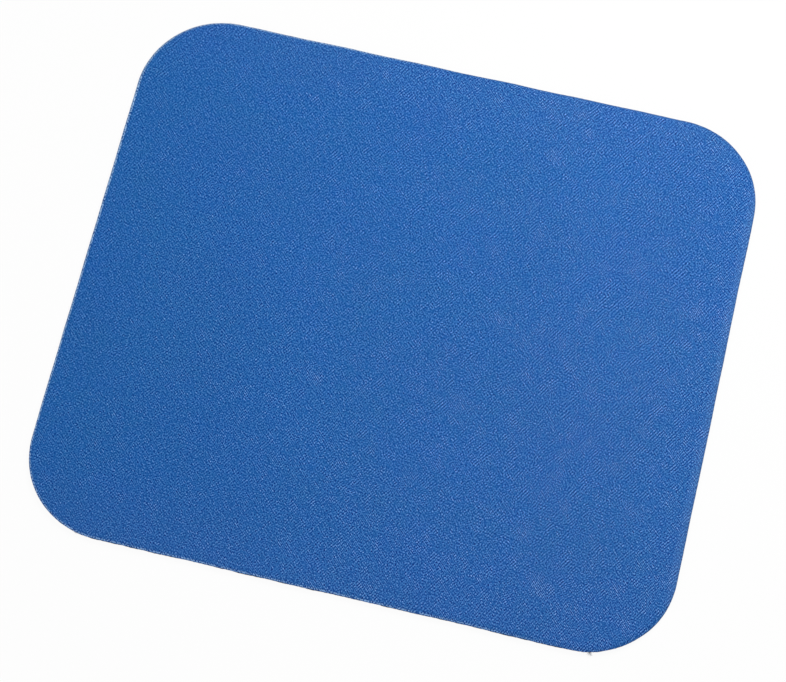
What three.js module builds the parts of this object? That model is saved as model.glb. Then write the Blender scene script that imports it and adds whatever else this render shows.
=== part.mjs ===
// Soft mouse pad: a knitted cloth cover bonded to a sheet of foam rubber and die cut as one
// laminate. The frame has its origin on the desk under the middle of the pad, +X along the long
// side, +Y across it and +Z up. Every length is in millimetres.
import * as THREE from "three";

// Plan of the pad
const padLength = 250;
const padWidth = 220;
const cornerRadius = 34;

// Build-up from the desk to the playing face
const padThickness = 3;
const clothThickness = 0.5;
const bondThickness = 0.1;

// The cutting die drags the layers down before it parts them, so they bend over the foam's edge.
// Each drop is how far that face has fallen at the cut, below its level in the middle of the pad.
const bendWidth = 2.4;
const clothTopDrop = 1.3;
const bondTopDrop = 1.2;
const foamTopDrop = 1.17;
const bendEndAngle = THREE.MathUtils.degToRad(62);

// The squeezed foam springs back, so the cut face slopes in towards the desk and is hollow between
// its two edges.
const cutSlopeIn = 0.45;
const cutHollow = 0.22;

// Facets
const arcSteps = 9;
const bendSteps = 7;
const flankSteps = 5;

// Levels that follow from the build-up
const bondTop = padThickness - clothThickness;
const foamTop = bondTop - bondThickness;
const cutTop = padThickness - clothTopDrop;

const clothMaterial = new THREE.MeshStandardMaterial({
  name: "cloth",
  color: 0x3167af,
  roughness: 0.85,
  metalness: 0,
});
const bondMaterial = new THREE.MeshStandardMaterial({
  name: "bond",
  color: 0xb9b7ae,
  roughness: 0.6,
  metalness: 0,
});
const foamMaterial = new THREE.MeshStandardMaterial({
  name: "foam",
  color: 0x17181a,
  roughness: 0.95,
  metalness: 0,
});

// The pad's outline drawn in by an inset, with its corner arcs on the same four centres.
function outline(inset) {
  const radius = cornerRadius - inset;
  const x = padLength / 2 - cornerRadius;
  const y = padWidth / 2 - cornerRadius;
  const shape = new THREE.Shape();
  shape.absarc(x, y, radius, 0, Math.PI / 2);
  shape.absarc(-x, y, radius, Math.PI / 2, Math.PI);
  shape.absarc(-x, -y, radius, Math.PI, 1.5 * Math.PI);
  shape.absarc(x, -y, radius, 1.5 * Math.PI, 2 * Math.PI);
  const points = shape.getPoints(arcSteps);
  if (points[0].distanceTo(points.at(-1)) < radius / arcSteps) points.pop();
  return points;
}

// Inset of the cut face at a height: nothing at its top edge, and the whole slope at the desk.
function cutInset(height) {
  const share = height / cutTop;
  return cutSlopeIn * (1 - share) + cutHollow * 4 * share * (1 - share);
}

// Profile of one face of a layer, from the flat middle of the pad out to the cut.
function bentFace(level, drop) {
  const cutHeight = level - drop;
  const reach = bendWidth - cutInset(cutHeight);
  return Array.from({ length: bendSteps + 1 }, (_, step) => {
    const angle = (bendEndAngle * step) / bendSteps;
    const outShare = Math.sin(angle) / Math.sin(bendEndAngle);
    const downShare = (1 - Math.cos(angle)) / (1 - Math.cos(bendEndAngle));
    return { inset: bendWidth - reach * outShare, height: level - drop * downShare };
  });
}

// Profile of the cut face between two heights, without the two ends.
function cutFace(from, to, steps) {
  return Array.from({ length: steps - 1 }, (_, step) => {
    const height = from + ((to - from) * (step + 1)) / steps;
    return { inset: cutInset(height), height };
  });
}

// A closed solid from a profile that runs from the middle of its underside, out and up round the
// cut, to the middle of its upper side. Flat caps close both ends.
function layerGeometry(profile) {
  const rings = profile.map(({ inset }) => outline(inset));
  const count = rings[0].length;
  const positions = profile.flatMap(({ height }, ring) =>
    rings[ring].flatMap((point) => [point.x, point.y, height]),
  );
  const faces = [];
  for (let ring = 0; ring + 1 < rings.length; ring++) {
    for (let i = 0; i < count; i++) {
      const next = (i + 1) % count;
      const a = ring * count + i;
      const b = ring * count + next;
      const c = (ring + 1) * count + next;
      const d = (ring + 1) * count + i;
      faces.push(a, b, c, a, c, d);
    }
  }
  const last = (rings.length - 1) * count;
  for (const [a, b, c] of THREE.ShapeUtils.triangulateShape(rings[0], [])) {
    faces.push(a, c, b);
    faces.push(last + a, last + b, last + c);
  }
  const geometry = new THREE.BufferGeometry();
  geometry.setAttribute("position", new THREE.Float32BufferAttribute(positions, 3));
  geometry.setIndex(faces);
  geometry.computeVertexNormals();
  return geometry;
}

function layer(name, profile, material) {
  const mesh = new THREE.Mesh(layerGeometry(profile), material);
  mesh.name = name;
  return mesh;
}

// The three faces that the layers share or show, each from the middle out to the cut.
const clothUpper = bentFace(padThickness, clothTopDrop);
const clothUnder = bentFace(bondTop, bondTopDrop);
const foamUpper = bentFace(foamTop, foamTopDrop);
const deskEdge = { inset: cutInset(0), height: 0 };

const foamBase = layer(
  "foam_base",
  [deskEdge, ...cutFace(0, foamTop - foamTopDrop, flankSteps), ...foamUpper.toReversed()],
  foamMaterial,
);
const bondFilm = layer(
  "bond_film",
  [...foamUpper, ...clothUnder.toReversed()],
  bondMaterial,
);
const clothCover = layer(
  "cloth_cover",
  [...clothUnder, ...clothUpper.toReversed()],
  clothMaterial,
);

const mousePad = new THREE.Group();
mousePad.name = "mouse_pad";
mousePad.add(foamBase, bondFilm, clothCover);

export default mousePad;
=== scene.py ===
import math
import random

import bpy
import numpy as np
from mathutils import Euler, Matrix, Vector, geometry, noise


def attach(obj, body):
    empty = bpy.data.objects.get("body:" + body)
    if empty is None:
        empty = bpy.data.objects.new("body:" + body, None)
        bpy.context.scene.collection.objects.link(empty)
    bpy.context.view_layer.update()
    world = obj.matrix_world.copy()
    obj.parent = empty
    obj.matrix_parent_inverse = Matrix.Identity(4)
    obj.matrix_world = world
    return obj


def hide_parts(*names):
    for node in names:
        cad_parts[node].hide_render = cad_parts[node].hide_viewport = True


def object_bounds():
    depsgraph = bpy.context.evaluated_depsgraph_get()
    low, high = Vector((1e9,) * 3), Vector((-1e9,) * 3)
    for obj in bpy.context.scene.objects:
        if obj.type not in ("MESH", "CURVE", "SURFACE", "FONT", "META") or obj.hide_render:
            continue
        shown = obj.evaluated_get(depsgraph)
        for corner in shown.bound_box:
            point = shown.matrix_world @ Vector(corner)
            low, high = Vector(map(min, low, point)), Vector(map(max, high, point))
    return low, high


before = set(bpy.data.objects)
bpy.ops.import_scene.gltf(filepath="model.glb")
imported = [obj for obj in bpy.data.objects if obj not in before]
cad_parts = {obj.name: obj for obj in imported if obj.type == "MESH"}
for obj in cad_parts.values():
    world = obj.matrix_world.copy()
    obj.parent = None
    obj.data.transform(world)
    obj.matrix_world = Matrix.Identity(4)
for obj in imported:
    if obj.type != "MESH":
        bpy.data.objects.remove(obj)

MM = 0.001
cad_low, cad_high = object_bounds()
random.seed(11)

# Plan of the pad, the same as its solids
pad_length = cad_high.x - cad_low.x
pad_width = cad_high.y - cad_low.y
pad_thickness = cad_high.z - cad_low.z
corner_radius = 34 * MM

# Build-up of the layers and their bend over the cut edge, the same as their solids
cloth_thickness = 0.5 * MM
bond_thickness = 0.1 * MM
bend_width = 2.4 * MM
cloth_top_drop = 1.3 * MM
bond_top_drop = 1.2 * MM
foam_top_drop = 1.17 * MM
bend_end_angle = math.radians(62)
cut_slope_in = 0.45 * MM
cut_hollow = 0.22 * MM
bond_top = pad_thickness - cloth_thickness
foam_top = bond_top - bond_thickness
cut_top = pad_thickness - cloth_top_drop
foam_cut_top = foam_top - foam_top_drop
layer_gap = 0.012 * MM

# How far the cut strays from the true outline, and how often
cut_wander = 0.22 * MM
cut_wander_spacing = 18 * MM

# Mesh fineness: steps along the edge, in the field and where nothing shows, and facets across
cloth_step = 0.5 * MM
bond_step = 1.2 * MM
foam_step = 0.3 * MM
field_step = 2.5 * MM
hidden_step = 9 * MM
cloth_bend_steps = 13
hidden_bend_steps = 7
cloth_cut_steps = 4
foam_bend_steps = 6
foam_cut_steps = 8

# Edges sharper than this stay crisp
layer_crease = math.radians(50)
foam_crease = math.radians(60)


# Outline and profiles
def outline(step):
    """Points of the pad's outline, anticlockwise, with their outward directions."""
    centre_x = pad_length / 2 - corner_radius
    centre_y = pad_width / 2 - corner_radius
    sides = [2 * centre_x, 2 * centre_y]
    points, outward = [], []
    for turn, (sign_x, sign_y) in enumerate([(1, 1), (-1, 1), (-1, -1), (1, -1)]):
        centre = Vector((sign_x * centre_x, sign_y * centre_y))
        arc_count = round(corner_radius * math.pi / 2 / step)
        for k in range(arc_count):
            angle = (turn + k / arc_count) * math.pi / 2
            direction = Vector((math.cos(angle), math.sin(angle)))
            points.append(centre + direction * corner_radius)
            outward.append(direction)
        end_angle = (turn + 1) * math.pi / 2
        direction = Vector((math.cos(end_angle), math.sin(end_angle)))
        along = Vector((-direction.y, direction.x))
        side = sides[turn % 2]
        side_count = round(side / step)
        for k in range(side_count):
            points.append(centre + direction * corner_radius + along * side * k / side_count)
            outward.append(direction)
    points, outward = np.array(points), np.array(outward)
    wander = cut_wander * smooth_noise(points, cut_wander_spacing, seed=4.4)
    return points + outward * wander[:, None], outward


def cut_inset(height):
    """How far the sloping, hollow cut face stands back from the outline at a height."""
    share = height / cut_top
    return cut_slope_in * (1 - share) + cut_hollow * 4 * share * (1 - share)


def bent_face(level, drop, steps):
    """(inset, height) of one face of a layer, from where it starts to bend out to the cut."""
    reach = bend_width - cut_inset(level - drop)
    profile = []
    for k in range(steps + 1):
        angle = bend_end_angle * k / steps
        out_share = math.sin(angle) / math.sin(bend_end_angle)
        down_share = (1 - math.cos(angle)) / (1 - math.cos(bend_end_angle))
        profile.append((bend_width - reach * out_share, level - drop * down_share))
    return profile


def raised(profile, gap):
    """A profile moved up by a gap, or down by a negative one."""
    return [(inset, height + gap) for inset, height in profile]


def between(start, end, steps):
    """(inset, height) pairs between two others, without them."""
    return [
        tuple(a + (b - a) * k / steps for a, b in zip(start, end)) for k in range(1, steps)
    ]


def unrolled(profile):
    """Distance along a profile from its first pair to each pair."""
    travelled = [0.0]
    for (inset_a, height_a), (inset_b, height_b) in zip(profile, profile[1:]):
        travelled.append(travelled[-1] + math.hypot(inset_b - inset_a, height_b - height_a))
    return travelled


def smooth_noise(points, spacing, seed):
    """Smooth noise from about -1 to 1 at flat points, with features of that spacing."""
    return np.array([noise.noise(Vector((x / spacing, y / spacing, seed))) for x, y in points])


def distance_inside(points):
    """How far flat points lie inside the outline."""
    corner = np.abs(points) - (np.array([pad_length, pad_width]) / 2 - corner_radius)
    beyond = np.linalg.norm(np.maximum(corner, 0), axis=1)
    return corner_radius - beyond - np.minimum(np.maximum(corner[:, 0], corner[:, 1]), 0)


def grid_inside(step, least):
    """Points of a square grid that lie at least that far inside the outline."""
    count_x = math.ceil(pad_length / step / 2)
    count_y = math.ceil(pad_width / step / 2)
    x, y = np.meshgrid(np.arange(-count_x, count_x + 1), np.arange(-count_y, count_y + 1))
    points = np.column_stack([x.ravel(), y.ravel()]) * step
    return points[distance_inside(points) > least]


def filled(loop, inner):
    """Triangles that fill a loop of flat points through the inner ones, facing up."""
    points = [Vector(p) for p in np.vstack([loop, inner])]
    edges = [(k, (k + 1) % len(loop)) for k in range(len(loop))]
    result = geometry.delaunay_2d_cdt(points, edges, [], 1, 1e-9)
    source = [origin[0] for origin in result[3]]
    return [tuple(source[v] for v in face) for face in result[2]]


class Shell:
    """A closed form lofted through rings, from the middle of its underside out and round."""

    def __init__(self):
        self.points, self.faces, self.materials, self.flat = [], [], [], []
        self.ring_starts = []

    def add_points(self, plan, heights, flat):
        """Adds points and where each falls on the flattened piece. Returns the first index."""
        start = len(self.points)
        self.points.extend((x, y, z) for (x, y), z in zip(plan, heights))
        self.flat.extend(map(tuple, flat))
        return start

    def add_ring(self, plan, heights, flat):
        """Adds the next ring out and round."""
        self.ring_starts.append(self.add_points(plan, heights, flat))

    def add_face(self, face, material):
        """Adds a face with the number of its material."""
        self.faces.append(face)
        self.materials.append(material)

    def skin(self, first, last, count, material):
        """Quads between successive rings of that many points."""
        for ring in range(first, last):
            lower, upper = self.ring_starts[ring], self.ring_starts[ring + 1]
            for k in range(count):
                after = (k + 1) % count
                quad = (lower + k, lower + after, upper + after, upper + k)
                self.add_face(quad, material)

    def cap(self, ring, count, inner_start, triangles, faces_up, material):
        """Triangles from filled(), on a ring and the inner points from inner_start."""
        start = self.ring_starts[ring]
        for triangle in triangles:
            face = [start + v if v < count else inner_start + v - count for v in triangle]
            self.add_face(tuple(face) if faces_up else tuple(face[::-1]), material)

    def mesh(self, name, materials):
        """The mesh of all that was added."""
        mesh = bpy.data.meshes.new(name)
        mesh.from_pydata(self.points, [], self.faces)
        for material in materials:
            mesh.materials.append(material)
        mesh.polygons.foreach_set("material_index", self.materials)
        return mesh


# Free border round each part of a map
map_margin = 0.004


def bake_map(mesh, flat, hidden_vertices, main_share):
    """A UV map: the faces that show fill most of the square, the others the strip above."""
    flat = np.array(flat)
    low, high = flat.min(axis=0), flat.max(axis=0)
    unit = (flat - low) / (high - low)
    layer = mesh.uv_layers.new(name="OFBake")
    for polygon in mesh.polygons:
        main = not hidden_vertices.intersection(polygon.vertices)
        base = (0 if main else main_share) + map_margin
        tall = (main_share if main else 1 - main_share) - 2 * map_margin
        for loop in polygon.loop_indices:
            u, v = unit[mesh.loops[loop].vertex_index]
            layer.data[loop].uv = (map_margin + u * (1 - 2 * map_margin), base + v * tall)


def finish_piece(name, mesh, sharp_angle=None):
    """A smooth-shaded piece that rides on the pad's one body."""
    mesh.polygons.foreach_set("use_smooth", [True] * len(mesh.polygons))
    if sharp_angle is not None:
        mesh.set_sharp_from_angle(angle=sharp_angle)
    mesh.update()
    piece = bpy.data.objects.new(name, mesh)
    bpy.context.scene.collection.objects.link(piece)
    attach(piece, "root")
    return piece


# Materials
class Nodes:
    """Short calls for building one material's nodes."""

    def __init__(self, name):
        self.material = bpy.data.materials.new(name)
        self.material.use_nodes = True
        self.tree = self.material.node_tree
        self.shader = self.tree.nodes["Principled BSDF"]
        coordinates = self.add("ShaderNodeTexCoord").outputs["Object"]
        self.position = self.vector("SCALE", coordinates, scale=1 / MM)

    def add(self, kind, **settings):
        """A new node with these settings."""
        node = self.tree.nodes.new(kind)
        for key, value in settings.items():
            setattr(node, key, value)
        return node

    def plug(self, socket, value):
        """Feeds a socket from an output, or sets it to a constant."""
        if isinstance(value, bpy.types.NodeSocket):
            self.tree.links.new(value, socket)
        elif value is not None:
            socket.default_value = value

    def vector(self, operation, first, second=None, scale=None):
        """The outcome of an operation on vectors from outputs or constants."""
        node = self.add("ShaderNodeVectorMath", operation=operation)
        self.plug(node.inputs[0], first)
        self.plug(node.inputs[1], second)
        if scale is not None:
            node.inputs["Scale"].default_value = scale
        return node.outputs["Vector"]

    def math(self, operation, *values, clamp=False):
        """The outcome of an operation on numbers from outputs or constants."""
        node = self.add("ShaderNodeMath", operation=operation, use_clamp=clamp)
        for socket, value in zip(node.inputs, values):
            self.plug(socket, value)
        return node.outputs[0]

    def along(self, axis):
        """The place along one axis, in millimetres."""
        apart = self.add("ShaderNodeSeparateXYZ")
        self.plug(apart.inputs[0], self.position)
        return apart.outputs[axis]

    def noise(self, spacing, detail=0.0, output="Fac"):
        """Smooth noise with features of that spacing in millimetres."""
        node = self.add("ShaderNodeTexNoise")
        self.plug(node.inputs["Vector"], self.position)
        node.inputs["Scale"].default_value = 1 / spacing
        node.inputs["Detail"].default_value = detail
        return node.outputs[output]

    def strokes(self, density, period, angle, patch, order=1.0):
        """Patches of parallel strokes, a period apart, across an angle of travel."""
        node = self.add("ShaderNodeTexGabor", gabor_type="2D")
        self.plug(node.inputs["Vector"], self.position)
        node.inputs["Scale"].default_value = 1 / patch
        self.plug(node.inputs["Frequency"], self.math("MULTIPLY", density, patch / period))
        node.inputs["Anisotropy"].default_value = order
        node.inputs["Orientation"].default_value = angle
        return self.math("SUBTRACT", node.outputs["Value"], 0.5)

    def cells(self, spacing):
        """Distance to the middle of the nearest of many cells of that spacing."""
        node = self.add("ShaderNodeTexVoronoi")
        self.plug(node.inputs["Vector"], self.position)
        node.inputs["Scale"].default_value = 1 / spacing
        return node.outputs["Distance"]

    def ramp(self, value, *stops):
        """A colour for each value, from (place, colour) pairs."""
        node = self.add("ShaderNodeValToRGB")
        self.plug(node.inputs["Fac"], value)
        elements = node.color_ramp.elements
        while len(elements) < len(stops):
            elements.new(0.5)
        for element, (place, colour) in zip(elements, stops):
            element.position = place
            element.color = (*colour, 1)
        return node.outputs["Color"]

    def two_tone(self, value, low, high, levels):
        """From the first of two colours in screen levels to the second, as the value grows."""
        dark, pale = levels
        return self.ramp(value, (low, colour(*dark)), (high, colour(*pale)))

    def mix(self, share, first, second):
        """The first colour with a share of the second."""
        node = self.add("ShaderNodeMix", data_type="RGBA")
        self.plug(node.inputs["Factor"], share)
        sockets = [socket for socket in node.inputs if socket.type == "RGBA"]
        for socket, value in zip(sockets, (first, second)):
            self.plug(socket, value)
        return next(socket for socket in node.outputs if socket.type == "RGBA")

    def tinted(self, base, spacing, depth):
        """The base colour with small uneven changes of hue and depth, of that spacing."""
        clouds = self.noise(spacing, detail=2, output="Color")
        change = self.vector("MULTIPLY_ADD", clouds, (2 * depth,) * 3)
        change.node.inputs[2].default_value = (1 - depth,) * 3
        return self.vector("MULTIPLY", base, change)

    def spread(self, value, low, high, to_low=0.0, to_high=1.0):
        """A value moved from one range to another, and held inside it."""
        node = self.add("ShaderNodeMapRange")
        self.plug(node.inputs["Value"], value)
        limits = {"From Min": low, "From Max": high, "To Min": to_low, "To Max": to_high}
        for name, number in limits.items():
            node.inputs[name].default_value = number
        return node.outputs["Result"]

    def bump(self, height, distance, strength):
        """Fine relief, which stands that far off the surface at a height of 1."""
        node = self.add("ShaderNodeBump")
        self.plug(node.inputs["Height"], height)
        node.inputs["Distance"].default_value = distance
        node.inputs["Strength"].default_value = strength
        self.plug(self.shader.inputs["Normal"], node.outputs["Normal"])

    def shade(self, colour, roughness, **constants):
        """Colour and roughness, which may vary, and constants for the shader's other sockets."""
        self.plug(self.shader.inputs["Base Color"], colour)
        self.plug(self.shader.inputs["Roughness"], roughness)
        for name, value in constants.items():
            self.shader.inputs[name.replace("_", " ")].default_value = value
        return self.material


def colour(red, green, blue):
    """A colour as shaders take it, from screen levels of 0 to 255."""
    levels = [level / 255 for level in (red, green, blue)]
    return tuple(
        level / 12.92 if level <= 0.04045 else ((level + 0.055) / 1.055) ** 2.4 for level in levels
    )


# How much finer the stretched knit gets over a millimetre to the right and towards the user
finer_right = 0.00016
finer_near = 0.00041

# The knit's rows of yarn: how far apart in millimetres, across which angle, how far they run
# before they lose step, and how high they stand
rising_rows = (0.98, -34, 3.4, 0.77)
steep_rows = (0.86, -60, 5.0, 0.28)
falling_rows = (0.92, 47, 1.6, 0.7)
fine_rows = (0.69, 45, 6.0, 0.78)
level_rows = (1.26, 80, 5.0, 0.29)

# How much plainer the rows get over a millimetre to the right and towards the user
rows_right = 0.0022
rows_near = 0.0034

# The stitches between them: how far apart, how far they keep in step, and how high they stand
stitch_spacing = 1.02
stitch_patch = 1.0
stitch_height = 1.24

# Patches where the knit lies a little higher or lower, and its small changes of tint
uneven_spacing = 1.5
uneven_height = 0.16
tint_spacings = (5, 35)
tint_depth = 0.05


def knit_density(nodes):
    """How dense the stretched knit is at each place, against its density in the middle."""
    density = nodes.math("MULTIPLY_ADD", nodes.along("X"), finer_right, 1.0)
    return nodes.math("MULTIPLY_ADD", nodes.along("Y"), -finer_near, density)


def stitch_relief(density, nodes):
    """Relief of the loose stitches, which lie in all directions."""
    uneven = nodes.math("SUBTRACT", nodes.noise(uneven_spacing), 0.5)
    uneven = nodes.math("MULTIPLY", uneven, uneven_height)
    stitches = nodes.strokes(density, stitch_spacing, 0.0, stitch_patch, order=0.0)
    return nodes.math("MULTIPLY_ADD", stitches, stitch_height, uneven)


def knit_relief(stitches, density, nodes):
    """Relief of the stitches and of the rows of yarn that run across each other."""
    to_right = nodes.math("MULTIPLY_ADD", nodes.along("X"), rows_right, 1.0)
    to_near = nodes.math("MULTIPLY_ADD", nodes.along("Y"), -rows_near, 1.0)
    relief = stitches
    for rows, plainness in (
        (rising_rows, to_right),
        (steep_rows, to_near),
        (falling_rows, 1.0),
        (fine_rows, to_right),
        (level_rows, to_near),
    ):
        spacing, angle, patch, height = rows
        strokes = nodes.strokes(density, spacing, math.radians(angle), patch)
        strokes = nodes.math("MULTIPLY", strokes, plainness)
        relief = nodes.math("MULTIPLY_ADD", strokes, height, relief)
    return relief


# Screen levels of the dyed yarn and how far the painted highlight and shade of its grain stand off
# them; the pale of frayed yarn and painted highlight, a painted sheen, and the darker rim with
# painted shade at the cut
yarn_levels = (29, 98, 173)
yarn_spreads = (112, 86, 77)
frayed_and_highlight_levels = (165, 206, 250)
painted_sheen_levels = (150, 118, 178)
darker_rim_and_painted_shade_levels = (46, 84, 128)
painted_right_highlight_share = 0.07
painted_sheen_share = 0.014
painted_edge_highlight_share = 0.018
darker_far_rim_share = 0.36
darker_right_rim_share = 0.2
painted_cut_shade_share = 0.75

# How plainly the grain shows at the left side and right of the middle, and how much less so at
# the right edge and the near right corner. Each range of places goes from where that sets in to
# where it is full, in millimetres from the middle of the pad.
grain_plain_left = 0.61
grain_plain_right = 0.83
plain_range = (-125, 75)
fainter_edge = 0.07
edge_range = (90, 125)
fainter_corner = 0.1
corner_range = (95, 175)
corner_slant = 0.7

# Where the yarn is worn and where highlight, sheen and shade are painted on it. Heights are above
# the desk and ranges of places are from the middle of the pad, in millimetres, and patches are
# ranges of noise.
frayed_heights = (2.56, 2.46)
frayed_height_slant = 0.0013
frayed_left_range = (-110, -122)
frayed_left_widening = 0.08
frayed_side_range = (45, 0)
frayed_side_slant = 0.4
frayed_right_share = 0.04
above_cut_heights = (1.9, 2.25)
near_rim_range = (-105, -60)
frayed_cut_shares = (0.25, 1.0)
frayed_cut_away_from_near = 0.35
frayed_near_share = 0.62
frayed_patch_spacing = 1.3
frayed_patch_height = 0.5
frayed_patches = (0.16, 0.24)
painted_right_highlight_range = (121, 124)
painted_sheen_range = (0, 190)
painted_edge_highlight_range = (80, 107)
darker_far_rim_range = (70, 105)
darker_far_rim_heights = (2.8, 2.45)
darker_right_rim_range = (90, 120)
darker_right_rim_heights = (2.5, 2.15)
painted_cut_shade_heights = (2.1, 1.75)
painted_cut_shade_patch_spacing = 1.2
painted_cut_shade_patches = (0.42, 0.58)
painted_cut_shade_least = 0.1


def grain_plainness(nodes):
    """How plainly the grain shows at each place."""
    along = nodes.along("X")
    plainness = nodes.spread(along, *plain_range, grain_plain_left, grain_plain_right)
    edge = nodes.spread(along, *edge_range, 0.0, fainter_edge)
    slanted = nodes.math("MULTIPLY_ADD", nodes.along("Y"), -corner_slant, along)
    corner = nodes.spread(slanted, *corner_range, 0.0, fainter_corner)
    return nodes.math("SUBTRACT", plainness, nodes.math("MAXIMUM", edge, corner))


def yarn_grain_with_painted_light(relief, nodes):
    """The dyed yarn's grain: painted highlight on the strokes that stand up, painted shade between
    them.
    """
    contrast = nodes.math("MULTIPLY_ADD", relief, grain_plainness(nodes), 0.5, clamp=True)
    stops = []
    for share in (0.0, 0.25, 0.5, 0.75, 1.0):
        levels = [
            min(max(level + (share * 2 - 1) * spread, 0), 255)
            for level, spread in zip(yarn_levels, yarn_spreads)
        ]
        stops.append((share, colour(*levels)))
    yarn = nodes.ramp(contrast, *stops)
    for spacing in tint_spacings:
        yarn = nodes.tinted(yarn, spacing, tint_depth)
    return yarn


def fraying_and_painted_light(relief, nodes):
    """Share of pale frayed yarn and painted light on the rolled rim, lifting its shade: left, and
    near as far as past the middle.
    """
    height = nodes.math(
        "MULTIPLY_ADD", nodes.along("Y"), -frayed_height_slant, nodes.along("Z")
    )
    wider = nodes.spread(nodes.along("X"), *frayed_left_range, 0.0, frayed_left_widening)
    rim = nodes.spread(nodes.math("SUBTRACT", height, wider), *frayed_heights)
    slanted = nodes.math("MULTIPLY_ADD", nodes.along("Y"), frayed_side_slant, nodes.along("X"))
    side = nodes.spread(slanted, *frayed_side_range, frayed_right_share, 1.0)
    cut = nodes.spread(nodes.along("Z"), *above_cut_heights)
    far = nodes.spread(nodes.along("Y"), *near_rim_range, 0.0, frayed_cut_away_from_near)
    kept = nodes.spread(nodes.math("MAXIMUM", cut, far), 0, 1, *frayed_cut_shares)
    patchy = nodes.noise(frayed_patch_spacing, detail=1)
    patchy = nodes.math("MULTIPLY_ADD", patchy, frayed_patch_height, relief)
    dashes = nodes.spread(patchy, *frayed_patches)
    frayed = nodes.math("MULTIPLY", nodes.math("MULTIPLY", rim, side), dashes)
    fewer_near = nodes.spread(nodes.along("Y"), *near_rim_range, frayed_near_share, 1.0)
    return nodes.math("MULTIPLY", nodes.math("MULTIPLY", frayed, kept), fewer_near)


def painted_right_highlight(nodes):
    """Share of pale colour painted along the right edge as a highlight where the rim catches the
    light.
    """
    return nodes.spread(nodes.along("X"), *painted_right_highlight_range, 0.0, painted_right_highlight_share)


def painted_sheen(nodes):
    """Share of painted sheen towards the near right corner, and of painted highlight along the far
    and near edges.
    """
    slanted = nodes.math("SUBTRACT", nodes.along("X"), nodes.along("Y"))
    corner = nodes.spread(slanted, *painted_sheen_range, 0.0, painted_sheen_share)
    across = nodes.math("ABSOLUTE", nodes.along("Y"))
    edges = nodes.spread(across, *painted_edge_highlight_range, 0.0, painted_edge_highlight_share)
    return nodes.math("MAXIMUM", corner, edges)


def rim_darkening_and_painted_shade(nodes):
    """Share of darker yarn on the rolled rim at the far and right sides, and of painted shade all
    round the cut.
    """
    height = nodes.along("Z")
    far = nodes.spread(nodes.along("Y"), *darker_far_rim_range, 0.0, darker_far_rim_share)
    far = nodes.math("MULTIPLY", nodes.spread(height, *darker_far_rim_heights), far)
    right = nodes.spread(nodes.along("X"), *darker_right_rim_range, 0.0, darker_right_rim_share)
    right = nodes.math("MULTIPLY", nodes.spread(height, *darker_right_rim_heights), right)
    cut = nodes.spread(height, *painted_cut_shade_heights, 0.0, painted_cut_shade_share)
    patches = nodes.noise(painted_cut_shade_patch_spacing, detail=1)
    patches = nodes.spread(patches, *painted_cut_shade_patches, painted_cut_shade_least, 1.0)
    cut = nodes.math("MULTIPLY", cut, patches)
    return nodes.math("MAXIMUM", nodes.math("MAXIMUM", far, right), cut)


def cloth_material():
    """Blue knitted cloth with its grain and its wear, and painted highlight, sheen and shade."""
    nodes = Nodes("blue_knit")
    density = knit_density(nodes)
    stitches = stitch_relief(density, nodes)
    relief = knit_relief(stitches, density, nodes)
    yarn = yarn_grain_with_painted_light(relief, nodes)
    # Painted sheen, painted rim highlights, frayed yarn with painted light, and the darker rim with
    # painted shade at the cut
    for share, levels in (
        (painted_sheen(nodes), painted_sheen_levels),
        (painted_right_highlight(nodes), frayed_and_highlight_levels),
        (fraying_and_painted_light(relief, nodes), frayed_and_highlight_levels),
        (rim_darkening_and_painted_shade(nodes), darker_rim_and_painted_shade_levels),
    ):
        yarn = nodes.mix(share, yarn, (*colour(*levels), 1))
    nodes.bump(stitches, 0.06 * MM, 0.6)
    return nodes.shade(
        yarn, 0.6, Sheen_Weight=0.01, Sheen_Roughness=0.5, Specular_IOR_Level=0.06
    )


# Screen levels of the other materials, where they are dark and where they are pale
cut_yarn_levels = ((38, 80, 140), (170, 195, 225))
adhesive_levels = ((150, 148, 140), (196, 194, 186))
foam_levels = ((22, 23, 25), (33, 34, 36))
foam_dust_levels = (80, 82, 84)
foam_dust_share = 0.25
fibre_levels = ((90, 135, 195), (190, 210, 235))
thread_levels = ((120, 128, 140), (205, 208, 214))


def cut_cloth_material():
    """The cloth's cut edge, where the pale ends of the yarn show."""
    nodes = Nodes("cut_knit")
    fray = nodes.noise(0.25, detail=3)
    yarn = nodes.two_tone(fray, 0.3, 0.7, cut_yarn_levels)
    nodes.bump(fray, 0.08 * MM, 0.8)
    return nodes.shade(yarn, 0.9, Sheen_Weight=0.2, Sheen_Roughness=0.5, Specular_IOR_Level=0.2)


def bond_material():
    """Dry adhesive, a little cloudy."""
    nodes = Nodes("dry_adhesive")
    clouds = nodes.noise(0.8, detail=3)
    film = nodes.two_tone(clouds, 0.3, 0.7, adhesive_levels)
    nodes.bump(nodes.noise(0.3, detail=2), 0.03 * MM, 0.6)
    rough = nodes.spread(clouds, 0.3, 0.7, 0.45, 0.7)
    return nodes.shade(film, rough, Specular_IOR_Level=0.4)


def foam_material():
    """Black foam rubber with fine bubbles and a little dust."""
    nodes = Nodes("black_foam")
    bubbles = nodes.cells(0.22)
    clouds = nodes.noise(6, detail=3)
    rubber = nodes.two_tone(clouds, 0.3, 0.7, foam_levels)
    dust = nodes.spread(nodes.noise(0.6, detail=2), 0.62, 0.72)
    dust = nodes.math("MULTIPLY", dust, foam_dust_share)
    rubber = nodes.mix(dust, rubber, (*colour(*foam_dust_levels), 1))
    nodes.bump(bubbles, 0.09 * MM, 0.9)
    rough = nodes.spread(clouds, 0.3, 0.7, 0.78, 0.95)
    return nodes.shade(rubber, rough, Specular_IOR_Level=0.3)


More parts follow.
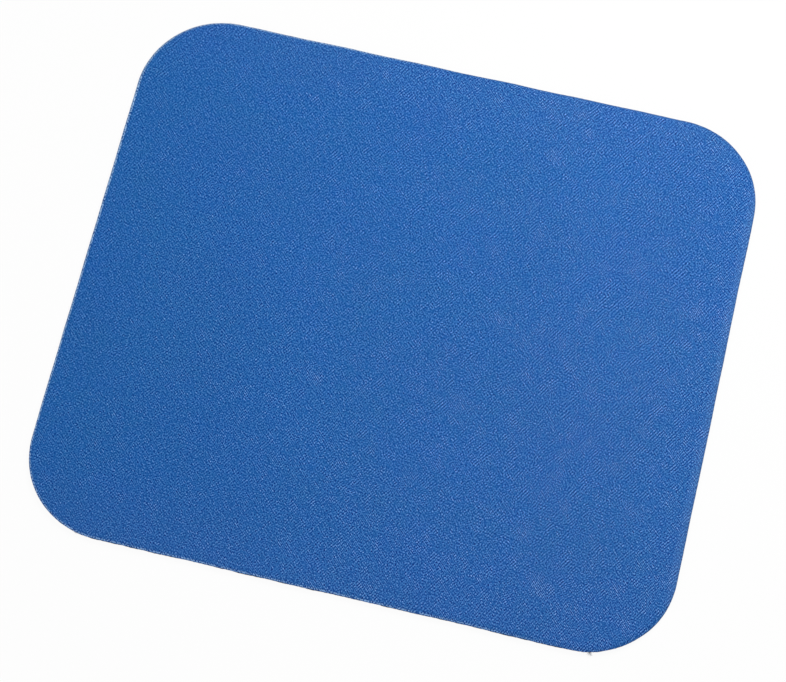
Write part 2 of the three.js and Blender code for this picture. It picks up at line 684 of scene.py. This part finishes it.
def yarn_end_material(name, spacing, pale_from, levels):
    """Single fibres, which change between two tones along their length."""
    nodes = Nodes(name)
    tint = nodes.noise(spacing, detail=1)
    fibre = nodes.two_tone(tint, 0.35, pale_from, levels)
    rough = nodes.spread(tint, 0.3, 0.7, 0.5, 0.8)
    return nodes.shade(fibre, rough, Sheen_Weight=0.2, Sheen_Roughness=0.4)


def fibre_material():
    """Yarn ends at the rim."""
    return yarn_end_material("cut_fibres", 0.5, 0.6, fibre_levels)


def thread_material():
    """Yarn ends that have pulled out, paler and greyer."""
    return yarn_end_material("loose_threads", 0.4, 0.65, thread_levels)


# Cloth

# Rings between the fine rim and the coarser field of the cloth: (inset, step along the ring)
rim_transition = [(3.1 * MM, 0.9 * MM), (4.3 * MM, 1.5 * MM), (6.2 * MM, 2.1 * MM)]

# Slow waves of the field, and waves of the rim outwards and upwards: (height, spacing, seed)
field_waves = [(0.06 * MM, 45 * MM, 3.3), (0.025 * MM, 14 * MM, 7.9)]
rim_waves_out = [(0.045 * MM, 5 * MM, 1.7), (0.035 * MM, 1.6 * MM, 5.2)]
rim_waves_up = [(0.03 * MM, 3 * MM, 9.1)]

# How far in from the bend the slow waves reach their full height, and the share of the cloth's
# map for the faces that show
field_fade = 8 * MM
cloth_map_share = 0.9


def waves(points, parts):
    """The sum of smooth waves at flat points, from (height, spacing, seed) of each."""
    return sum(height * smooth_noise(points, spacing, seed) for height, spacing, seed in parts)


def sparse_ring(inset, step):
    """Points at an inset from the outline, a step apart."""
    plan, outward = outline(step)
    return plan - outward * inset


def undulation(points):
    """Slow unevenness of the flat cloth, which fades out towards the rim."""
    fade = np.clip((distance_inside(points) - bend_width) / field_fade, 0, 1)
    return waves(points, field_waves) * fade


def cloth_rings(shell, plan, outward, profile):
    """Adds the cloth's wavy rings, each laid out flat at its distance along the cloth."""
    wave = waves(plan, rim_waves_out)
    lift = waves(plan, rim_waves_up)
    for index, (inset, height) in enumerate(profile):
        edge_share = (1 - min(inset / bend_width, 1)) ** 2
        ring = plan - outward * (inset - wave * edge_share)[:, None]
        heights = height + lift * edge_share
        travelled = unrolled(profile[index:])[-1]
        flat = plan - outward * (bend_width - travelled)
        shell.add_ring(ring, heights, flat)


def knit_cloth():
    """The cloth: a thin closed sheet that rolls down over the foam at the cut."""
    plan, outward = outline(cloth_step)
    count = len(plan)
    under = raised(bent_face(bond_top, bond_top_drop, hidden_bend_steps), layer_gap)
    upper = bent_face(pad_thickness, cloth_top_drop, cloth_bend_steps)
    cut = between(under[-1], upper[-1], cloth_cut_steps)
    profile = under + cut + upper[::-1]
    shell = Shell()
    cloth_rings(shell, plan, outward, profile)
    last = len(profile) - 1
    top_loop = plan - outward * bend_width
    inner = np.vstack([
        *(sparse_ring(inset, step) for inset, step in rim_transition),
        grid_inside(field_step, rim_transition[-1][0] + field_step / 2),
    ])
    inner_start = shell.add_points(inner, pad_thickness + undulation(inner), inner)
    hidden = grid_inside(hidden_step, bend_width + hidden_step / 2)
    hidden_start = shell.add_points(hidden, [bond_top + layer_gap] * len(hidden), hidden)
    first_cut = len(under) - 1
    last_cut = first_cut + len(cut) + 1
    shell.cap(0, count, hidden_start, filled(top_loop, hidden), False, 0)
    shell.skin(0, first_cut, count, 0)
    shell.skin(first_cut, last_cut, count, 1)
    shell.skin(last_cut, last, count, 0)
    shell.cap(last, count, inner_start, filled(top_loop, inner), True, 0)
    mesh = shell.mesh("knit_cloth", [cloth_material(), cut_cloth_material()])
    hidden_vertices = set(range(shell.ring_starts[first_cut])) | set(
        range(hidden_start, hidden_start + len(hidden))
    )
    bake_map(mesh, shell.flat, hidden_vertices, cloth_map_share)
    return finish_piece("knit_cloth", mesh, layer_crease)


# Adhesive, which is squeezed out this far at most, in places this far apart
bond_squeeze = 0.03 * MM
bond_squeeze_spacing = 2.5 * MM


def adhesive_film():
    """The thin closed film between the cloth and the foam, squeezed a little at the cut."""
    plan, outward = outline(bond_step)
    count = len(plan)
    under = raised(bent_face(foam_top, foam_top_drop, hidden_bend_steps), layer_gap)
    upper = raised(bent_face(bond_top, bond_top_drop, hidden_bend_steps), -layer_gap)
    squeeze = bond_squeeze * smooth_noise(plan, bond_squeeze_spacing, seed=2.4)
    profile = under + upper[::-1]
    shell = Shell()
    for inset, height in profile:
        edge_share = (1 - min(inset / bend_width, 1)) ** 4
        ring = plan - outward * (inset - squeeze * edge_share)[:, None]
        shell.add_ring(ring, [height] * count, ring)
    loop = plan - outward * bend_width
    hidden = grid_inside(hidden_step, bend_width + hidden_step / 2)
    triangles = filled(loop, hidden)
    low_start = shell.add_points(hidden, [under[0][1]] * len(hidden), hidden)
    high_start = shell.add_points(hidden, [upper[0][1]] * len(hidden), hidden)
    shell.cap(0, count, low_start, triangles, False, 0)
    shell.skin(0, len(profile) - 1, count, 0)
    shell.cap(len(profile) - 1, count, high_start, triangles, True, 0)
    mesh = shell.mesh("adhesive_film", [bond_material()])
    return finish_piece("adhesive_film", mesh, layer_crease)


# Foam: the grid of its underside, the lip that swells out at the desk, its burst bubbles, and the
# share of its map for the faces that show
emboss_pitch = 2.2 * MM
emboss_depth = 0.2 * MM
lip_swell = 0.16 * MM
lip_unevenness = 0.2 * MM
lip_spacing = 3.5 * MM
pore_spacing = 0.42 * MM
pore_depth = 0.1 * MM
pore_width_share = 0.55
foam_map_share = 0.92


def emboss(points):
    """Height of the embossed underside: small feet on the desk and a grid of valleys."""
    feet = np.cos(math.pi * points / emboss_pitch) ** 2
    return emboss_depth * (1 - feet[:, 0] * feet[:, 1])


def pore(point):
    """Depth of a burst bubble on the foam's cut face, none between bubbles."""
    distances, _ = noise.voronoi(point / pore_spacing)
    return pore_depth * max(0.0, 1 - distances[0] / pore_width_share)


def foam_rubber():
    """The foam: an embossed underside, a hollow cut face full of pores and a bent top."""
    plan, outward = outline(foam_step)
    count = len(plan)
    rows = foam_cut_steps
    upper = bent_face(foam_top, foam_top_drop, foam_bend_steps)
    feet = emboss(plan)
    swell = lip_swell + lip_unevenness * smooth_noise(plan, lip_spacing, seed=6.6)
    shell = Shell()
    for row in range(rows + 1):
        share = row / rows
        height = foam_cut_top * share
        heights = feet + (foam_cut_top - feet) * share
        inset = cut_inset(height) - swell * (1 - share)
        if row < rows:
            ring = plan - outward * inset[:, None]
            inset += np.array([pore(Vector((x, y, z))) for (x, y), z in zip(ring, heights)])
        flat = plan + outward * height
        shell.add_ring(plan - outward * inset[:, None], heights, flat)
    for inset, height in upper[::-1][1:]:
        ring = plan - outward * inset
        shell.add_ring(ring, [height] * count, ring)
    last = rows + len(upper) - 1
    sole = grid_inside(emboss_pitch / 2, emboss_pitch / 2)
    sole_start = shell.add_points(sole, emboss(sole), sole)
    hidden = grid_inside(hidden_step, bend_width + hidden_step / 2)
    hidden_start = shell.add_points(hidden, [foam_top] * len(hidden), hidden)
    loop = plan - outward * bend_width
    shell.cap(0, count, sole_start, filled(plan, sole), False, 0)
    shell.skin(0, last, count, 0)
    shell.cap(last, count, hidden_start, filled(loop, hidden), True, 0)
    mesh = shell.mesh("foam_rubber", [foam_material()])
    hidden_vertices = set(range(shell.ring_starts[rows + 1], sole_start)) | set(
        range(hidden_start, hidden_start + len(hidden))
    )
    bake_map(mesh, shell.flat, hidden_vertices, foam_map_share)
    return finish_piece("foam_rubber", mesh, foam_crease)


# Fibres out of the cut: tries at one, how far below the cut's top edge and how deep in it they
# start, how long and thick they are in millimetres, and how far they lean up and aside
cut_fibre_tries = 3600
lowest_start = 0.32 * MM
highest_start = 0.02 * MM
root_depth = 0.06 * MM
cut_fibre_length = (0.15, 0.42)
cut_fibre_thickness = (0.025, 0.045)
cut_fibre_lean = (-0.35, 0.8)
cut_fibre_turn = (-0.7, 0.7)

# Fibres on the rolled rim: tries at one, and in millimetres how far in from the cut they lie, how
# long they are, how far they reach out and how thick they are. They start a little inside the
# cloth and arch over it.
rim_fibre_tries = 2600
rim_fibre_inset = (0.05, 0.75)
rim_fibre_length = (0.25, 0.6)
rim_fibre_reach = (-0.12, 0.2)
rim_fibre_thickness = (0.03, 0.055)
rim_fibre_depth = 0.01 * MM
rim_fibre_arch = 0.03 * MM


class Fibres:
    """Many thin three-sided tubes in one mesh."""

    sides = 3
    bends = 3

    def __init__(self):
        self.points, self.faces = [], []

    def add(self, root, middle, tip, thickness):
        """A closed tapering tube along the curve from root by middle to tip."""
        start = len(self.points)
        for k in range(self.bends + 1):
            t = k / self.bends
            centre = root * (1 - t) ** 2 + middle * 2 * t * (1 - t) + tip * t * t
            travel = (middle - root) * (1 - t) + (tip - middle) * t
            across = travel.orthogonal().normalized()
            other = travel.cross(across).normalized()
            radius = thickness / 2 * (1 - 0.5 * t)
            for side in range(self.sides):
                angle = 2 * math.pi * side / self.sides
                offset = across * math.cos(angle) + other * math.sin(angle)
                self.points.append(centre + offset * radius)
        for k in range(self.bends):
            lower, upper = start + k * self.sides, start + (k + 1) * self.sides
            for side in range(self.sides):
                after = (side + 1) % self.sides
                quad = (lower + side, lower + after, upper + after, upper + side)
                self.faces.append(quad)
        end = start + self.bends * self.sides
        self.faces.append(tuple(start + side for side in reversed(range(self.sides))))
        self.faces.append(tuple(end + side for side in range(self.sides)))

    def piece(self, name, material, slot):
        """All the tubes as one piece."""
        mesh = bpy.data.meshes.new(name)
        mesh.from_pydata(self.points, [], self.faces)
        mesh.materials.append(material)
        return finish_piece(name, mesh)


def rim_place(distance_along, inset):
    """A point and the outward and along directions at a distance round the outline."""
    index = int(distance_along / cloth_step) % len(rim_plan)
    direction = Vector((*rim_outward[index], 0))
    along = Vector((-direction.y, direction.x, 0))
    place = Vector((*rim_plan[index], 0)) - direction * inset
    return place + along * random.uniform(-0.5, 0.5) * cloth_step, direction, along


def upper_height(inset):
    """Height of the cloth's rolled face at an inset from the outline."""
    share = (bend_width - inset) / bend_width * math.sin(bend_end_angle)
    down = 1 - math.cos(math.asin(min(share, math.sin(bend_end_angle))))
    return pad_thickness - cloth_top_drop * down / (1 - math.cos(bend_end_angle))


# Share of the tries that leave a fibre in the cut at the left side and at the right. On the rolled
# rim it is the square of that.
left_wear = 0.85
right_wear = 0.35


def wear(place):
    """Share of fraying at a place: most on the left side, least on the right."""
    return left_wear - (left_wear - right_wear) * (place.x / pad_length + 0.5)


def edge_fibres():
    """Cut yarn ends that stand out of the cloth's cut and lie on its rolled rim."""
    fibres = Fibres()
    for _ in range(cut_fibre_tries):
        place, direction, along = rim_place(random.uniform(0, rim_length), 0.0)
        if random.random() > wear(place):
            continue
        root_height = random.uniform(cut_top - lowest_start, cut_top - highest_start)
        root = place - direction * (cut_inset(root_height) + root_depth)
        root.z = root_height
        length = random.uniform(*cut_fibre_length) * MM
        lean = Vector((0, 0, random.uniform(*cut_fibre_lean)))
        sideways = along * random.uniform(*cut_fibre_turn)
        middle = root + (direction + lean * 0.4).normalized() * length * 0.55
        tip = middle + (direction * 0.6 + lean + sideways).normalized() * length * 0.6
        fibres.add(root, middle, tip, random.uniform(*cut_fibre_thickness) * MM)
    for _ in range(rim_fibre_tries):
        inset = random.uniform(*rim_fibre_inset) * MM
        place, direction, along = rim_place(random.uniform(0, rim_length), inset)
        if random.random() > wear(place) ** 2:
            continue
        sideways = along * random.choice((-1, 1)) * random.uniform(*rim_fibre_length) * MM
        step_out = random.uniform(*rim_fibre_reach) * MM
        root = place.copy()
        root.z = upper_height(inset) - rim_fibre_depth
        middle = place + sideways * 0.5 + direction * step_out * 0.5
        middle.z = upper_height(inset - step_out * 0.5) + rim_fibre_arch
        tip = place + sideways + direction * step_out
        tip.z = upper_height(inset - step_out)
        fibres.add(root, middle, tip, random.uniform(*rim_fibre_thickness) * MM)
    return fibres.piece("edge_fibres", fibre_material(), "cloth")


# Loose tufts seen at the edge: place along x and y, half their width, how far out, and how many
# fibres
tufts = [
    (99.1 * MM, -110.4 * MM, 0.8 * MM, 1.3 * MM, 46),
    (-95.9 * MM, 109.0 * MM, 0.4 * MM, 0.7 * MM, 18),
    (-98.5 * MM, -110.2 * MM, 1.4 * MM, 0.45 * MM, 34),
]

# Their fibres: heights they start between, and thickness in millimetres
thread_starts = (1.35 * MM, 1.65 * MM)
thread_thickness = (0.04, 0.065)


def frayed_threads():
    """A few tufts where yarn ends have pulled out of the cut."""
    threads = Fibres()
    for x, y, half_wide, reach, number in tufts:
        gaps = np.linalg.norm(rim_plan - np.array([x, y]), axis=1)
        nearest = int(np.argmin(gaps))
        for _ in range(number):
            slide = random.gauss(0, 0.45) * half_wide
            root_height = random.uniform(*thread_starts)
            inset = cut_inset(root_height) + root_depth
            root, direction, along = rim_place(nearest * cloth_step + slide, inset)
            root.z = root_height
            out = reach * random.uniform(0.45, 1.1)
            middle = root + direction * out * 0.6 + along * random.uniform(-0.3, 0.3) * out
            middle.z = max(root.z + random.uniform(-0.5, 0.25) * MM, 0.1 * MM)
            tip = middle + direction * out * 0.5 + along * random.uniform(-0.6, 0.6) * out
            tip.z = max(middle.z - random.uniform(0.1, 0.8) * MM, 0.06 * MM)
            threads.add(root, middle, tip, random.uniform(*thread_thickness) * MM)
    return threads.piece("frayed_threads", thread_material(), "cloth")


# Desk, light and camera

# How far the desk reaches, how light it is, and how much of what the camera sees of it is plain
# white, which keeps the shadow faint
desk_reach = 2.5
desk_colour = (0.92, 0.92, 0.92, 1)
desk_glow_share = 0.94


def seen_directly(tree):
    """1 for what the camera sees itself, in a gloss or through something clear, and 0 otherwise."""
    seen = tree.nodes.new("ShaderNodeLightPath")
    total = seen.outputs["Is Camera Ray"]
    for ray in ("Is Glossy Ray", "Is Transmission Ray"):
        node = tree.nodes.new("ShaderNodeMath")
        node.operation = "ADD"
        node.use_clamp = True
        tree.links.new(total, node.inputs[0])
        tree.links.new(seen.outputs[ray], node.inputs[1])
        total = node.outputs[0]
    return total


def desk():
    """A wide matt white surface that keeps the pad's faint shadow."""
    mesh = bpy.data.meshes.new("desk")
    turns = [(-1, -1), (1, -1), (1, 1), (-1, 1)]
    corners = [(x * desk_reach, y * desk_reach, 0) for x, y in turns]
    mesh.from_pydata(corners, [], [(0, 1, 2, 3)])
    material = bpy.data.materials.new("white_desk")
    material.use_nodes = True
    tree = material.node_tree
    tree.nodes.clear()
    matt = tree.nodes.new("ShaderNodeBsdfDiffuse")
    matt.inputs["Color"].default_value = desk_colour
    white = tree.nodes.new("ShaderNodeEmission")
    share = tree.nodes.new("ShaderNodeMath")
    share.operation = "MULTIPLY"
    tree.links.new(seen_directly(tree), share.inputs[0])
    share.inputs[1].default_value = desk_glow_share
    blend = tree.nodes.new("ShaderNodeMixShader")
    output = tree.nodes.new("ShaderNodeOutputMaterial")
    tree.links.new(share.outputs[0], blend.inputs[0])
    tree.links.new(matt.outputs[0], blend.inputs[1])
    tree.links.new(white.outputs[0], blend.inputs[2])
    tree.links.new(blend.outputs[0], output.inputs["Surface"])
    mesh.materials.append(material)
    floor = bpy.data.objects.new("desk", mesh)
    bpy.context.scene.collection.objects.link(floor)


# Each lamp's share of the light on the cloth, its place and size. The sky gives the rest.
key_share = 0.54
key_place = Vector((0.2, 0.32, 0.5))
key_size = 0.3
fill_share = 0.14
fill_place = Vector((-1.2, -2.6, 1.3))
fill_size = 1.5
sky_share = 1 - key_share - fill_share


def sky():
    """Even light from all round, seen as white."""
    world = bpy.data.worlds.new("studio")
    bpy.context.scene.world = world
    world.use_nodes = True
    tree = world.node_tree
    strength = tree.nodes.new("ShaderNodeMapRange")
    tree.links.new(seen_directly(tree), strength.inputs["Value"])
    strength.inputs["To Min"].default_value = sky_share
    background = tree.nodes["Background"]
    background.inputs["Color"].default_value = (1, 1, 1, 1)
    tree.links.new(strength.outputs["Result"], background.inputs["Strength"])


def lamp(name, place, size, share):
    """A soft square lamp aimed at the pad, which lights it as that share of a white sky would."""
    light = bpy.data.lights.new(name, "AREA")
    light.size = size
    facing = place.z / place.length
    light.energy = share * math.pi**2 * place.length_squared / facing
    holder = bpy.data.objects.new(name, light)
    holder.location = place
    holder.rotation_euler = (-place).to_track_quat("-Z", "Y").to_euler()
    bpy.context.scene.collection.objects.link(holder)


# The photograph's view: what the camera looks at, from where, and its lens
camera_target = Vector((-0.6 * MM, -6.6 * MM, 0))
camera_azimuth = math.radians(13.66)
camera_elevation = math.radians(70.13)
camera_roll = math.radians(-0.21)
camera_distance = 1.0363
camera_lens = 123.04


def camera():
    """The camera at the photograph's viewing angle."""
    data = bpy.data.cameras.new("camera")
    data.lens = camera_lens
    data.sensor_width = 36
    data.clip_start = 0.05
    data.clip_end = 20
    turn = Euler((math.pi / 2 - camera_elevation, 0, camera_azimuth)).to_matrix()
    turn = turn @ Matrix.Rotation(camera_roll, 3, "Z")
    viewer = bpy.data.objects.new("camera", data)
    viewer.matrix_world = Matrix.Translation(
        camera_target + turn @ Vector((0, 0, camera_distance))
    ) @ turn.to_4x4()
    bpy.context.scene.collection.objects.link(viewer)
    bpy.context.scene.camera = viewer


camera()
desk()
sky()
lamp("key", key_place, key_size, key_share)
lamp("fill", fill_place, fill_size, fill_share)

rim_plan, rim_outward = outline(cloth_step)
rim_length = len(rim_plan) * cloth_step
cloth = knit_cloth()
bond = adhesive_film()
foam = foam_rubber()
ends = edge_fibres()
threads = frayed_threads()

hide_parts("cloth_cover")
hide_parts("bond_film")
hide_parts("foam_base")

bpy.context.scene.view_settings.view_transform = "Standard"
